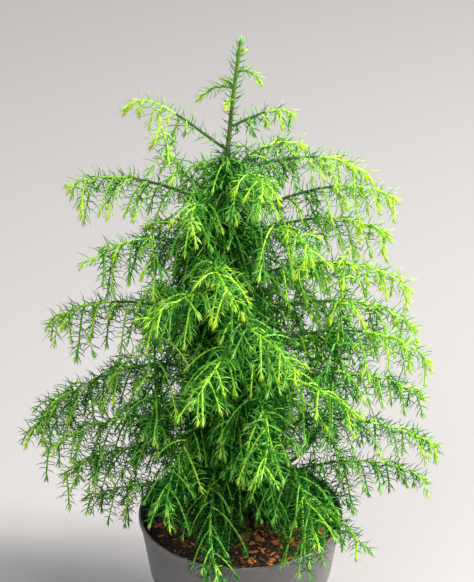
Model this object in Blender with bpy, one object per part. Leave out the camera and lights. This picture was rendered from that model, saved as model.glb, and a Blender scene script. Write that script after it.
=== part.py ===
"""A young Japanese cedar with soft juvenile needles, in a two-litre nursery pot.

Metres, +Z up. The origin is the middle of the pot's flat underside. Turns are degrees about
+Z: 0 is the plant's right as seen from its front, 90 its back, 180 its left and 270 its front.
"""

import math
import random
from collections import namedtuple

import bmesh
import bpy
import numpy as np
from mathutils import Matrix, Vector

# The pot, a two-litre nursery container: outer radii and heights, then its wall.
POT_HEIGHT = 0.130
RIM_RADIUS = 0.085
COLLAR_FOOT_RADIUS = 0.0785
COLLAR_FOOT_HEIGHT = 0.079
COLLAR_ROUND = 0.002
COLLAR_ROUND_HEIGHT = 0.005
BODY_TOP_RADIUS = 0.0724
BODY_TOP_HEIGHT = 0.066
BASE_RADIUS = 0.061
BASE_CORNER = 0.003
LIP_HEIGHT = 0.003
LIP_OVERHANG = 0.0006
WALL = 0.0016
FLOOR = 0.0025
POT_SIDES = 32
DRAIN_HOLES = 8
DRAIN_RADIUS = 0.0035
DRAIN_CIRCLE = 0.046
DRAIN_SIDES = 8

# The growing medium that fills the pot, with a flat place for the trunk's foot.
SOIL_LEVEL = 0.118
SOIL_FOOT_PLACE = 0.011
SOIL_RINGS = 3
SOIL_LUMPS = 0.0018

# The clearance between pieces that touch, and the distance under which points are one.
GAP = 0.0003
MERGE = 1e-6

# The plant: its tip, and the trunk up to where the leading shoot begins.
PLANT_TOP = 0.547
TRUNK_TOP = 0.490
TRUNK_BOW = 0.0135
TRUNK_BOW_SKEW = 1.3
TRUNK_FOOT_RADIUS = 0.0044
TRUNK_TIP_RADIUS = 0.0016
ROOT_FLARE = 0.0034
ROOT_FLARE_HEIGHT = 0.006
ROOT_FLARE_STRETCHES = 4
TRUNK_SIDES = 7
TRUNK_STRETCHES = 12

# Boughs, the stems that go on from them, and twigs.
BOUGH_RADIUS = 0.0021
BOUGH_SIDES = 5
BOUGH_STRETCH = 0.015
STEM_RADIUS = 0.0013
TIP_RADIUS = 0.0008
TWIG_RADIUS = 0.0006
TWIG_TIP_RADIUS = 0.0004
TWIG_SIDES = 3
STRETCH = 0.0157
FEWEST_STRETCHES = 5
ARCH_LEAVING = 0.42
ARCH_ARRIVING = 0.30
TWIG_LENGTH = 0.046
TWIG_LENGTH_SPREAD = 0.15
TWIG_LEAST = 0.011
TWIG_SLOPE = 0.30
VIGOUR_DEPTH = 0.17
TWIG_ANGLE = 60
TWIG_ANGLE_SPREAD = 8
TWIG_CLIMB = 0.20
TWIG_SAG = 0.85
GOLDEN_ANGLE = math.radians(137.508)

# Needles, each a pointed tooth on a stem or twig.
NEEDLE_OUT = 0.0078
NEEDLE_FORWARD = 0.0082

# What a mass keeps to: nearer to its own stem than to another's, and off the limbs and the pot.
SPACE_MARGIN = 0.0012
LIMB_MARGIN = 0.0010
RIM_MARGIN = 2 * WALL
SAMPLE_STEP = 0.002
ARCH_SAMPLES = 41
TWIG_SAMPLES = 13
LEADER_STRETCHES = 12

# The limbs that shape the crown's left and right, from the top down: the height where each
# leaves the trunk, its tip's height and reach, its turn, the rise at which it leaves, the rise of
# its tip, and the share of it that is a bare bough, or None where the foliage starts at the trunk.
Side = namedtuple("Side", "name leave height reach turn rise end share")
SIDES = (
    Side("top_right", 0.476, 0.482, 0.040, 6, 26, -65, None),
    Side("top_left", 0.457, 0.491, 0.084, 181, 36, -60, None),
    Side("top_left_upright", 0.416, 0.484, 0.062, 190, 24, 76, None),
    Side("upper_right", 0.439, 0.431, 0.096, 3, 14, -60, 0.20),
    Side("high_left", 0.406, 0.429, 0.132, 182, 30, -25, 0.20),
    Side("high_right", 0.394, 0.412, 0.121, 2, 30, -40, 0.20),
    Side("shoulder_left", 0.366, 0.371, 0.116, 190, 38, -50, None),
    Side("shoulder_right", 0.374, 0.373, 0.118, 10, 28, -45, None),
    Side("elbow_right", 0.338, 0.339, 0.133, 357, 32, -50, None),
    Side("middle_left", 0.300, 0.307, 0.151, 181, 34, -46, 0.20),
    Side("middle_right", 0.300, 0.291, 0.142, 8, 32, -50, None),
    Side("waist_right", 0.276, 0.281, 0.150, 354, 32, -50, 0.20),
    Side("waist_left", 0.251, 0.205, 0.171, 180, 40, -64, 0.20),
    Side("skirt_right", 0.232, 0.229, 0.150, 6, 34, -45, None),
    Side("skirt_left", 0.212, 0.205, 0.160, 191, 26, -40, None),
    Side("low_right", 0.200, 0.194, 0.161, 0, 28, -30, 0.20),
    Side("low_left", 0.186, 0.162, 0.148, 178, 14, -38, None),
    Side("lowest_right", 0.148, 0.166, 0.153, 356, 36, -40, None),
    Side("lowest_left", 0.142, 0.136, 0.128, 176, 26, -30, None),
    Side("front_right_skirt", 0.148, 0.137, 0.120, 326, 34, -50, None),
    Side("left_upright", 0.166, 0.396, 0.076, 206, 6, 80, 0.28),
    Side("right_upright", 0.170, 0.384, 0.087, 341, 6, 78, 0.28),
)

# The limbs that fill the crown's front and back, by rule: evenly down the trunk, each turned on
# from the last across its side, as long as the crown is wide there, and swung aside in its arch.
FILLERS = 12
FILLER_TOP = 0.430
FILLER_LOW = 0.158
FILLER_LIFT = 0.016
FILLER_RISE = 36
FILLER_END = -48
FILLER_FAN = 104
FILLER_SWING = 32
CROWN_REACH = 0.156
CROWN_TAPER = 0.60
SKIRT = 0.220
FRONT_SKIRT_REACH = 0.76
FRONT_SKIRT_DROP = 0.034
BACK_BOUGHS = (5,)
BACK_BOUGH_SHARE = 0.25
GOLDEN_SHARE = 0.618034

SEED = 11

# Base colours, linear, and roughness. The foliage runs from the low green to the high one.
POT_COLOUR = (0.115, 0.108, 0.104)
POT_ROUGHNESS = 0.45
SOIL_COLOUR = (0.030, 0.019, 0.013)
SOIL_ROUGHNESS = 0.95
BARK_COLOUR = (0.130, 0.066, 0.030)
BARK_ROUGHNESS = 0.8
LOW_GREEN = (0.030, 0.110, 0.012)
HIGH_GREEN = (0.115, 0.270, 0.030)
NEEDLE_ROUGHNESS = 0.6

for old in list(bpy.data.objects):
    bpy.data.objects.remove(old, do_unlink=True)


def direction(turn, rise):
    """The unit vector at a turn about +Z and a rise above the level, both in degrees."""
    a = math.radians(turn)
    e = math.radians(rise)
    return np.array([math.cos(a) * math.cos(e), math.sin(a) * math.cos(e), math.sin(e)])


def unit(v):
    return v / np.linalg.norm(v)


def path_length(points):
    return float(np.linalg.norm(np.diff(points, axis=0), axis=1).sum())


def resample(points, count, start=0.0, end=1.0):
    """Even points along a path, from one share of its length to another."""
    steps = np.linalg.norm(np.diff(points, axis=0), axis=1)
    along = np.concatenate([[0.0], np.cumsum(steps)])
    wanted = np.linspace(start, end, count + 1) * along[-1]
    return np.stack([np.interp(wanted, along, points[:, axis]) for axis in range(3)], axis=1)


def arched_path(start, end, leaving, arriving):
    """A cubic arch between two points that leaves and arrives along two directions."""
    chord = np.linalg.norm(end - start)
    t = np.linspace(0.0, 1.0, ARCH_SAMPLES)[:, None]
    first = start + leaving * chord * ARCH_LEAVING
    last = end - arriving * chord * ARCH_ARRIVING
    return (
        (1 - t) ** 3 * start
        + 3 * (1 - t) ** 2 * t * first
        + 3 * (1 - t) * t**2 * last
        + t**3 * end
    )


def carried_frames(points):
    """(along, side, over) at each point of a path, carried along it without a twist."""
    along = np.gradient(points, axis=0)
    along /= np.linalg.norm(along, axis=1, keepdims=True)
    helper = np.array([0.0, 0.0, 1.0]) if abs(along[0][2]) < 0.95 else np.array([0.0, 1.0, 0.0])
    side = unit(np.cross(along[0], helper))
    found = []
    for forward in along:
        side = unit(side - forward * np.dot(side, forward))
        found.append((forward, side, np.cross(side, forward)))
    return found


def trunk_point(height):
    """The trunk's axis: it bows a little to the left and comes back under its tip."""
    share = (height - SOIL_LEVEL) / (PLANT_TOP - SOIL_LEVEL)
    return np.array([-TRUNK_BOW * math.sin(math.pi * share**TRUNK_BOW_SKEW), 0.0, height])


def trunk_radius(height):
    share = (height - SOIL_LEVEL) / (TRUNK_TOP - SOIL_LEVEL)
    flare = ROOT_FLARE * math.exp(-(height - SOIL_LEVEL) / ROOT_FLARE_HEIGHT)
    return TRUNK_FOOT_RADIUS + (TRUNK_TIP_RADIUS - TRUNK_FOOT_RADIUS) * share + flare


def trunk_axis(low, high, count):
    return np.array([trunk_point(height) for height in np.linspace(low, high, count + 1)])


def grow_tube(points, radii, sides, cut=None):
    """A tapering limb, extruded from section to section.

    It gives the bmesh and the side faces of each stretch. cut is a (point, normal) plane that
    the first section is slid onto, so that the limb starts flat against what it grows from.
    """
    bm = bmesh.new()
    steps = carried_frames(points)
    bmesh.ops.create_circle(bm, cap_ends=True, segments=sides, radius=1.0)
    bm.faces.ensure_lookup_table()
    cap = bm.faces[0]
    unit_ring = [vert.co.copy() for vert in cap.verts]
    bands = []
    for index, centre in enumerate(points):
        if index:
            grown = bmesh.ops.extrude_face_region(bm, geom=[cap, *cap.edges])["geom"]
            cap = next(item for item in grown if isinstance(item, bmesh.types.BMFace))
            bands.append([face for edge in cap.edges for face in edge.link_faces if face != cap])
        forward, side, over = steps[index]
        for vert, flat in zip(cap.verts, unit_ring, strict=True):
            place = centre + (side * flat.x + over * flat.y) * radii[index]
            if cut is not None and index == 0:
                plane, normal = cut
                place = place + forward * np.dot(plane - place, normal) / np.dot(forward, normal)
            vert.co = place
    bmesh.ops.recalc_face_normals(bm, faces=bm.faces)
    return bm, bands


def make_material(name, colour, roughness):
    material = bpy.data.materials.new(name)
    material.use_nodes = True
    shader = material.node_tree.nodes["Principled BSDF"]
    shader.inputs["Base Color"].default_value = (*colour, 1.0)
    shader.inputs["Roughness"].default_value = roughness
    shader.inputs["Metallic"].default_value = 0.0
    return material


def place_object(name, bm, material=None, parent=None):
    mesh = bpy.data.meshes.new(name)
    bm.to_mesh(mesh)
    bm.free()
    made = bpy.data.objects.new(name, mesh)
    bpy.context.scene.collection.objects.link(made)
    if material is not None:
        mesh.materials.append(material)
    if parent is not None:
        made.parent = parent
    return made


def smooth(made, angle=40):
    made.data.shade_smooth()
    made.data.set_sharp_from_angle(angle=math.radians(angle))


def turned(profile, sides):
    """A solid of revolution about +Z from a profile whose ends lie on the axis."""
    bm = bmesh.new()
    verts = [bm.verts.new((radius, 0.0, height)) for radius, height in profile]
    edges = [bm.edges.new(pair) for pair in zip(verts, verts[1:])]
    bmesh.ops.spin(
        bm,
        geom=verts + edges,
        cent=(0, 0, 0),
        axis=(0, 0, 1),
        angle=2 * math.pi,
        steps=sides,
        use_merge=True,
    )
    bmesh.ops.remove_doubles(bm, verts=bm.verts, dist=MERGE)
    bmesh.ops.recalc_face_normals(bm, faces=bm.faces)
    return bm


plant = bpy.data.objects.new("potted_cedar", None)
bpy.context.scene.collection.objects.link(plant)

# The pot: a tapered body, a step out to the flared collar, and a rolled lip.
outer = [
    (BASE_RADIUS - BASE_CORNER, 0.0),
    (BASE_RADIUS, BASE_CORNER),
    (BODY_TOP_RADIUS, BODY_TOP_HEIGHT),
    (COLLAR_FOOT_RADIUS - COLLAR_ROUND, COLLAR_FOOT_HEIGHT - COLLAR_ROUND_HEIGHT),
    (COLLAR_FOOT_RADIUS, COLLAR_FOOT_HEIGHT),
    (RIM_RADIUS - LIP_OVERHANG, POT_HEIGHT - LIP_HEIGHT),
    (RIM_RADIUS, POT_HEIGHT - LIP_HEIGHT + LIP_OVERHANG),
    (RIM_RADIUS, POT_HEIGHT - LIP_OVERHANG),
    (RIM_RADIUS - LIP_OVERHANG, POT_HEIGHT),
]
inner = [
    (RIM_RADIUS - LIP_OVERHANG - WALL, POT_HEIGHT),
    (COLLAR_FOOT_RADIUS - WALL, COLLAR_FOOT_HEIGHT),
    (BODY_TOP_RADIUS - WALL, BODY_TOP_HEIGHT),
    (BASE_RADIUS - WALL, BASE_CORNER + FLOOR),
    (BASE_RADIUS - BASE_CORNER - WALL, FLOOR),
]
pot = place_object(
    "pot",
    turned([(0.0, 0.0), *outer, *inner, (0.0, FLOOR)], POT_SIDES),
    make_material("pot_plastic", POT_COLOUR, POT_ROUGHNESS),
    plant,
)
smooth(pot, 25)

# The drain holes through the pot's floor.
drains = bmesh.new()
for k in range(DRAIN_HOLES):
    turn = 2 * math.pi * (k + 0.5) / DRAIN_HOLES
    centre = Vector((math.cos(turn), math.sin(turn), 0.0)) * DRAIN_CIRCLE
    bmesh.ops.create_cone(
        drains,
        cap_ends=True,
        segments=DRAIN_SIDES,
        radius1=DRAIN_RADIUS,
        radius2=DRAIN_RADIUS,
        depth=4 * FLOOR,
        matrix=Matrix.Translation(centre),
    )
drain_cutter = place_object("drain_cutter", drains)
drain_cutter.hide_render = True
drain_cutter.display_type = "WIRE"
drilling = pot.modifiers.new("drain_holes", "BOOLEAN")
drilling.operation = "DIFFERENCE"
drilling.solver = "EXACT"
drilling.object = drain_cutter


# The growing medium: it fits the pot's inside a small gap away, and its top is lumpy.
def pot_inside(height):
    """The radius of the pot's inside at a height."""
    heights = [h for _, h in reversed(inner)]
    radii = [r for r, _ in reversed(inner)]
    return float(np.interp(height, heights, radii))


soil_profile = [(0.0, FLOOR + GAP)]
for radius, height in reversed(inner[1:]):
    soil_profile.append((radius - GAP, height + (GAP if height == FLOOR else 0.0)))
edge = pot_inside(SOIL_LEVEL) - GAP
soil_profile.append((edge, SOIL_LEVEL))
for ring in range(1, SOIL_RINGS):
    soil_profile.append((edge + (SOIL_FOOT_PLACE - edge) * ring / (SOIL_RINGS - 1), SOIL_LEVEL))
soil_profile.append((0.0, SOIL_LEVEL))
soil = turned(soil_profile, POT_SIDES)
lumps = random.Random(SEED)
for vert in soil.verts:
    spread = math.hypot(vert.co.x, vert.co.y)
    if vert.co.z > SOIL_LEVEL - GAP and spread > SOIL_FOOT_PLACE + GAP:
        vert.co.z += lumps.uniform(-SOIL_LUMPS, SOIL_LUMPS * (spread < edge - GAP))
peat = make_material("growing_medium", SOIL_COLOUR, SOIL_ROUGHNESS)
place_object("growing_medium", soil, peat, plant)

# The trunk, cut flat where it stands on the growing medium.
trunk_points = trunk_axis(SOIL_LEVEL + GAP, TRUNK_TOP, TRUNK_STRETCHES)
low = trunk_axis(SOIL_LEVEL + GAP, SOIL_LEVEL + 3 * ROOT_FLARE_HEIGHT, ROOT_FLARE_STRETCHES)
trunk_points = np.concatenate([low, trunk_points[trunk_points[:, 2] > low[-1][2] + STRETCH / 2]])
trunk_mesh, _ = grow_tube(
    trunk_points,
    [trunk_radius(point[2]) for point in trunk_points],
    TRUNK_SIDES,
    (low[0], np.array([0.0, 0.0, 1.0])),
)
trunk_bark = make_material("trunk_bark", BARK_COLOUR, BARK_ROUGHNESS)
smooth(place_object("trunk", trunk_mesh, trunk_bark, plant))


class Limb:
    """A bough and the foliage mass that grows on from it, or a spray with no bough."""

    def __init__(self, name, path, share):
        self.name = name
        self.length = path_length(path)
        self.stem_start = 0.0 if share is None else share + GAP / self.length
        self.path = path
        self.share = share
        self.stem_length = self.length * (1 - self.stem_start)
        stretches = max(FEWEST_STRETCHES, round(self.stem_length / STRETCH))
        self.stem = resample(path, stretches, self.stem_start)
        samples = round(self.stem_length / SAMPLE_STEP)
        self.stem_samples = resample(path, samples, self.stem_start)


def trunk_surface(height, turn):
    """Where a limb's foot lies, a gap off the trunk."""
    return trunk_point(height) + direction(turn, 0) * (trunk_radius(height) + GAP)


def limb_path(leave, height, reach, turn, rise, end, swing=0):
    """The arch of a limb from the trunk's side out to its tip, swung aside and back."""
    tip = direction(turn, 0) * reach
    tip[2] = height
    leaving = direction(turn + swing, rise)
    arriving = direction(turn - swing, end)
    return arched_path(trunk_surface(leave, turn), tip, leaving, arriving)


def crown_reach(height):
    """How far the crown reaches from the trunk's line at a height."""
    share = (PLANT_TOP - height) / (PLANT_TOP - FILLER_LOW)
    return CROWN_REACH * share**CROWN_TAPER


limbs = []
for side in SIDES:
    path = limb_path(side.leave, side.height, side.reach, side.turn, side.rise, side.end)
    limbs.append(Limb(side.name, path, side.share))
for k in range(FILLERS):
    for name, middle_turn, offset in (("front", 270, 0.0), ("back", 90, 0.5)):
        leave = FILLER_TOP + (FILLER_LOW - FILLER_TOP) * (k + offset) / (FILLERS - 0.5)
        fan = ((k + 1) * GOLDEN_SHARE + offset) % 1 - 0.5
        height = leave + FILLER_LIFT * (leave - FILLER_LOW) / (FILLER_TOP - FILLER_LOW)
        reach = crown_reach(height)
        if name == "front" and leave < SKIRT:
            reach *= FRONT_SKIRT_REACH
            height -= FRONT_SKIRT_DROP
        turn = middle_turn + FILLER_FAN * fan
        share = BACK_BOUGH_SHARE if name == "back" and k in BACK_BOUGHS else None
        swing = FILLER_SWING * (-1) ** k
        path = limb_path(leave, height, reach, turn, FILLER_RISE, FILLER_END, swing)
        limbs.append(Limb(f"{name}_{k + 1}", path, share))
leader_path = trunk_axis(TRUNK_TOP + GAP, PLANT_TOP, LEADER_STRETCHES)
limbs.append(Limb("leading_shoot", leader_path, None))

# Every stem's samples with its owner, and every bare limb's samples with its radius.
stem_samples = np.concatenate([limb.stem_samples for limb in limbs])
stem_owners = np.concatenate([np.full(len(l.stem_samples), i) for i, l in enumerate(limbs)])
bare_samples = [trunk_axis(SOIL_LEVEL, TRUNK_TOP, round((TRUNK_TOP - SOIL_LEVEL) / SAMPLE_STEP))]
bare_radii = [np.array([trunk_radius(point[2]) for point in bare_samples[0]])]
for limb in limbs:
    if limb.share is not None:
        samples = resample(limb.path, round(limb.length * limb.share / SAMPLE_STEP), 0, limb.share)
        bare_samples.append(samples)
        bare_radii.append(np.linspace(BOUGH_RADIUS, STEM_RADIUS, len(samples)))
bare_samples = np.concatenate(bare_samples)
bare_radii = np.concatenate(bare_radii)


def in_own_space(owner, point):
    """True where a point is nearest to its own stem, and clear of limbs, medium and pot."""
    spread = math.hypot(point[0], point[1])
    floor = SOIL_LEVEL + 2 * SOIL_LUMPS
    if spread > RIM_RADIUS - 2 * RIM_MARGIN:
        floor = POT_HEIGHT + SPACE_MARGIN
    if spread < RIM_RADIUS + RIM_MARGIN and point[2] < floor:
        return False
    if point[2] > PLANT_TOP:
        return False
    if np.any(np.linalg.norm(bare_samples - point, axis=1) < bare_radii + LIMB_MARGIN):
        return False
    apart = np.linalg.norm(stem_samples - point, axis=1)
    own = apart[stem_owners == owner].min()
    return own + SPACE_MARGIN < apart[stem_owners != owner].min()


def twig_reach(from_tip, height):
    """Twigs grow longer back from their stem's tip, and less so in the young top of the plant."""
    vigour = min(1.0, (PLANT_TOP - height) / VIGOUR_DEPTH)
    return min(TWIG_LENGTH * vigour, TWIG_LEAST + TWIG_SLOPE * from_tip)


def twig_path(owner, root, aim, reach):
    """A twig's path, sagging as it goes out and cut where it leaves its mass's own space."""
    t = np.linspace(0.0, 1.0, TWIG_SAMPLES)[:, None]
    path = root + (aim * t + np.array([0.0, 0.0, -TWIG_SAG]) * t**2) * reach
    for count, point in enumerate(path):
        if not in_own_space(owner, point):
            return path[:count]
    return path


def raise_needles(bm, faces, middle, forward, owner):
    """Poke each side face into a tooth that points out and forward, where there is room."""
    for face in faces:
        tip = middle + outwards(face, middle, forward) * NEEDLE_OUT + forward * NEEDLE_FORWARD
        if in_own_space(owner, tip):
            poked = bmesh.ops.poke(bm, faces=[face])
            poked["verts"][0].co = tip


def outwards(face, middle, forward):
    """The direction in which a side face looks, square to its limb."""
    out = np.array(face.calc_center_median()) - middle
    return unit(out - forward * np.dot(out, forward))


def grow_mass(limb, owner, foot_radius, cut):
    """The bmesh of a mass's toothed stem, and those of the twigs that leave it.

    Each stretch of the stem past the first sends out one twig, through the side face nearest
    to a golden-angle turn, and its other faces rise into needles.
    """
    rng = random.Random(SEED * 100 + owner)
    radii = np.linspace(foot_radius, TIP_RADIUS, len(limb.stem))
    stem, bands = grow_tube(limb.stem, radii, TWIG_SIDES, cut)
    steps = carried_frames(limb.stem)
    turn = rng.uniform(0, 2 * math.pi)
    twigs = []
    for index in range(1, len(bands)):
        root, forward = middle_of(limb.stem, index)
        turn += GOLDEN_ANGLE
        wanted = steps[index][1] * math.cos(turn) + steps[index][2] * math.sin(turn)
        side = max(bands[index], key=lambda face: np.dot(outwards(face, root, forward), wanted))
        lean = math.radians(TWIG_ANGLE + rng.uniform(-TWIG_ANGLE_SPREAD, TWIG_ANGLE_SPREAD))
        aim = forward * math.cos(lean) + outwards(side, root, forward) * math.sin(lean)
        aim[2] = min(aim[2], TWIG_CLIMB)
        reach = twig_reach(limb.stem_length * (1 - index / len(bands)), root[2])
        reach *= rng.uniform(1 - TWIG_LENGTH_SPREAD, 1 + TWIG_LENGTH_SPREAD)
        path = twig_path(owner, root, aim, reach)
        bare = []
        if len(path) > 1 and path_length(path) > TWIG_LEAST / 2:
            twigs.append(grow_twig(path, owner, forward))
            bare = [side]
        raise_needles(stem, [face for face in bands[index] if face not in bare], root, forward, owner)
    return stem, twigs


def middle_of(points, index):
    """The middle of one stretch of a path, and its direction."""
    ends = points[index : index + 2]
    return ends.mean(axis=0), unit(ends[1] - ends[0])


def grow_twig(path, owner, stem_forward):
    """A toothed twig, whose first needles stand only on the sides away from its stem's tip."""
    points = resample(path, max(2, round(path_length(path) / STRETCH)))
    radii = np.linspace(TWIG_RADIUS, TWIG_TIP_RADIUS, len(points))
    twig, bands = grow_tube(points, radii, TWIG_SIDES)
    for index, band in enumerate(bands):
        middle, forward = middle_of(points, index)
        if index == 0:
            band = [f for f in band if np.dot(outwards(f, middle, forward), stem_forward) < 0.0]
        raise_needles(twig, band, middle, forward, owner)
    return twig


def keep_largest_body(made):
    """Drop the loose scraps and the sealed hollows that a union can leave."""
    bm = bmesh.new()
    bm.from_mesh(made.data)
    bmesh.ops.dissolve_degenerate(bm, dist=MERGE, edges=bm.edges)
    bmesh.ops.triangulate(bm, faces=bm.faces)
    waiting = set(bm.verts)
    bodies = []
    while waiting:
        reached = {waiting.pop()}
        edge_of_body = list(reached)
        while edge_of_body:
            vert = edge_of_body.pop()
            for link in vert.link_edges:
                other = link.other_vert(vert)
                if other in waiting:
                    waiting.discard(other)
                    reached.add(other)
                    edge_of_body.append(other)
        bodies.append(reached)
    bodies.sort(key=len)
    loose = [vert for body in bodies[:-1] for vert in body]
    bmesh.ops.delete(bm, geom=loose, context="VERTS")
    bm.to_mesh(made.data)
    bm.free()


def fuse(made, twigs):
    """One union of a stem with the collection of its twigs, applied."""
    group = bpy.data.collections.new("twigs")
    bpy.context.scene.collection.children.link(group)
    for twig in twigs:
        bpy.context.scene.collection.objects.unlink(twig)
        group.objects.link(twig)
    union = made.modifiers.new("union", "BOOLEAN")
    union.operation = "UNION"
    union.solver = "EXACT"
    union.operand_type = "COLLECTION"
    union.collection = group
    evaluated = made.evaluated_get(bpy.context.evaluated_depsgraph_get())
    fused = bpy.data.meshes.new_from_object(evaluated)
    made.modifiers.clear()
    made.data = fused
    for twig in twigs:
        bpy.data.objects.remove(twig, do_unlink=True)
    bpy.data.collections.remove(group)
    keep_largest_body(made)


# Each limb: its bough where it has one, then the foliage mass on its stem.
for owner, limb in enumerate(limbs):
    foot = limb.path[0]
    foot_radius = STEM_RADIUS
    if limb.name == "leading_shoot":
        cut = None
        foot_radius = TRUNK_TIP_RADIUS
    else:
        cut = (foot, unit(foot - trunk_point(foot[2])))
    if limb.share is not None:
        count = max(4, round(limb.length * limb.share / BOUGH_STRETCH))
        points = resample(limb.path, count, 0, limb.share)
        radii = np.linspace(BOUGH_RADIUS, STEM_RADIUS, len(points))
        bough_mesh, _ = grow_tube(points, radii, BOUGH_SIDES, cut)
        bark = make_material(f"{limb.name}_bark", BARK_COLOUR, BARK_ROUGHNESS)
        smooth(place_object(f"{limb.name}_bough", bough_mesh, bark, plant))
        cut = None
    stem_mesh, twig_meshes = grow_mass(limb, owner, foot_radius, cut)
    freshness = (limb.path[-1][2] - SOIL_LEVEL) / (PLANT_TOP - SOIL_LEVEL)
    green = np.array(LOW_GREEN) * (1 - freshness) + np.array(HIGH_GREEN) * freshness
    needles = make_material(f"{limb.name}_needles", tuple(green), NEEDLE_ROUGHNESS)
    mass = place_object(f"{limb.name}_foliage", stem_mesh, needles, plant)
    fuse(mass, [place_object("twig", twig_mesh) for twig_mesh in twig_meshes])
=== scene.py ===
"""A young Japanese cedar with soft juvenile needles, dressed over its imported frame."""

import math
import random
from collections import namedtuple

import bmesh
import bpy
import numpy as np
from mathutils import Matrix, Vector, kdtree, noise


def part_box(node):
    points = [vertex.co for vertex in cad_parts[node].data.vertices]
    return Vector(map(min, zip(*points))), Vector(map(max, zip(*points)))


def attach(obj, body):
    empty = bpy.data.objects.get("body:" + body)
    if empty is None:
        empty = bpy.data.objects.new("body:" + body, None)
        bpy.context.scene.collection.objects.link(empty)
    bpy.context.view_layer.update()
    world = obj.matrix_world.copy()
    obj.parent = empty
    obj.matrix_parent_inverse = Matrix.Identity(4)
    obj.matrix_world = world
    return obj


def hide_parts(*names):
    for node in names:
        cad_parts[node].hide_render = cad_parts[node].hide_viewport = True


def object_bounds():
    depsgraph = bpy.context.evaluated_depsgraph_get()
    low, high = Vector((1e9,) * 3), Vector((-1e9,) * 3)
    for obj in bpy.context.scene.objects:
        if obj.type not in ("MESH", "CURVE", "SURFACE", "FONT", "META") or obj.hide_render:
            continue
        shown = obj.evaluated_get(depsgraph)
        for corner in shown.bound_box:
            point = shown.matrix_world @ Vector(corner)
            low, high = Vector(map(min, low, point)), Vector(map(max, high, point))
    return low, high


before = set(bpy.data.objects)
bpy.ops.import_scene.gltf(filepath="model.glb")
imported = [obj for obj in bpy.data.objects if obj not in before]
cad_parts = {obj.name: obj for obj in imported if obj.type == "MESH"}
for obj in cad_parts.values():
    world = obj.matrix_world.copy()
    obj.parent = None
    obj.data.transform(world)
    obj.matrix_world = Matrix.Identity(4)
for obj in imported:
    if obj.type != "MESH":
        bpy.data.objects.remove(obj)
cad_low, cad_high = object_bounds()
NODES = sorted(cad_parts)
BOUGHS = [name for name in NODES if name.endswith("_bough")]
MASSES = [name for name in NODES if name.endswith("_foliage")]


# The pot: a two-litre nursery container, injection moulded in warm grey recycled plastic.
# A tapered body steps out to a flared collar with a rolled lip, and the plant simply stands in it.
class Value:
    """A shader socket in an expression; sums and products of it add their Math nodes."""

    def __init__(self, finish, socket):
        self.finish = finish
        self.socket = socket

    def reckon(self, operation, first, second=0.0):
        return self.finish.node("ShaderNodeMath", {"operation": operation}, {0: first, 1: second})

    def __add__(self, other):
        return self.reckon("ADD", self, other)

    __radd__ = __add__

    def __mul__(self, other):
        return self.reckon("MULTIPLY", self, other)

    __rmul__ = __mul__

    def __sub__(self, other):
        return self.reckon("SUBTRACT", self, other)

    def __rsub__(self, other):
        return self.reckon("SUBTRACT", other, self)

    def __pow__(self, other):
        return self.reckon("POWER", self, other)

    def between(self, low, high):
        """0 below low, 1 above high, and a smooth rise between them."""
        settings = {"interpolation_type": "SMOOTHSTEP"}
        return self.finish.node("ShaderNodeMapRange", settings, {0: self, 1: low, 2: high})


class Finish:
    """A material on the piece's own coordinates, built around one Principled shader."""

    def __init__(self, name, colour, roughness):
        self.material = bpy.data.materials.new(name)
        self.material.use_nodes = True
        self.tree = self.material.node_tree
        self.shader = self.tree.nodes["Principled BSDF"]
        self.place = self.node("ShaderNodeTexCoord", output="Object")
        self.set("Base Color", (*colour, 1.0))
        self.set("Roughness", roughness)

    def node(self, kind, settings=None, inputs=None, output=0):
        """Any node, from its type, its settings and the values or links of its sockets."""
        made = self.tree.nodes.new(kind)
        for key, value in (settings or {}).items():
            setattr(made, key, value)
        for key, value in (inputs or {}).items():
            self.feed(made.inputs[key], value)
        return Value(self, made.outputs[output])

    def feed(self, socket, value):
        if isinstance(value, Value):
            self.tree.links.new(value.socket, socket)
        else:
            socket.default_value = value

    def set(self, name, value):
        self.feed(self.shader.inputs[name], value)

    def noise(self, scale, detail=3.0, roughness=0.5, stretch=(1.0, 1.0, 1.0)):
        """Fractal noise, from 0 to 1, with scale features to the metre."""
        place = self.node("ShaderNodeMapping", None, {"Vector": self.place, "Scale": stretch})
        inputs = {"Vector": place, "Scale": scale, "Detail": detail, "Roughness": roughness}
        return self.node("ShaderNodeTexNoise", None, inputs)

    def height(self):
        """The height above the pot's underside, in metres."""
        return self.node("ShaderNodeSeparateXYZ", None, {0: self.place}, "Z")

    def blend(self, share, first, second):
        """A mix of two colours."""
        settings = {"data_type": "RGBA"}
        paint = [c if isinstance(c, Value) else (*c, 1.0) for c in (first, second)]
        return self.node("ShaderNodeMix", settings, {0: share, 6: paint[0], 7: paint[1]}, 2)

    def bump(self, relief, depth, strength=1.0):
        """Relief on the surface, where a step of 1 in it is depth metres."""
        inputs = {"Height": relief, "Distance": depth, "Strength": strength}
        self.set("Normal", self.node("ShaderNodeBump", None, inputs))


def shown(name, bm, finish, node_names, slot, smooth_angle=None):
    """Puts a bmesh in the scene as a finished piece that stands for some nodes."""
    mesh = bpy.data.meshes.new(name)
    bm.to_mesh(mesh)
    bm.free()
    return dress(bpy.data.objects.new(name, mesh), finish, node_names, smooth_angle)


def dress(piece, finish, node_names, smooth_angle=None):
    bpy.context.scene.collection.objects.link(piece)
    piece.data.materials.append(finish.material)
    if smooth_angle is not None:
        piece.data.shade_smooth()
        piece.data.set_sharp_from_angle(angle=math.radians(smooth_angle))
    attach(piece, "root")
    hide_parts(*node_names)
    return piece


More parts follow.
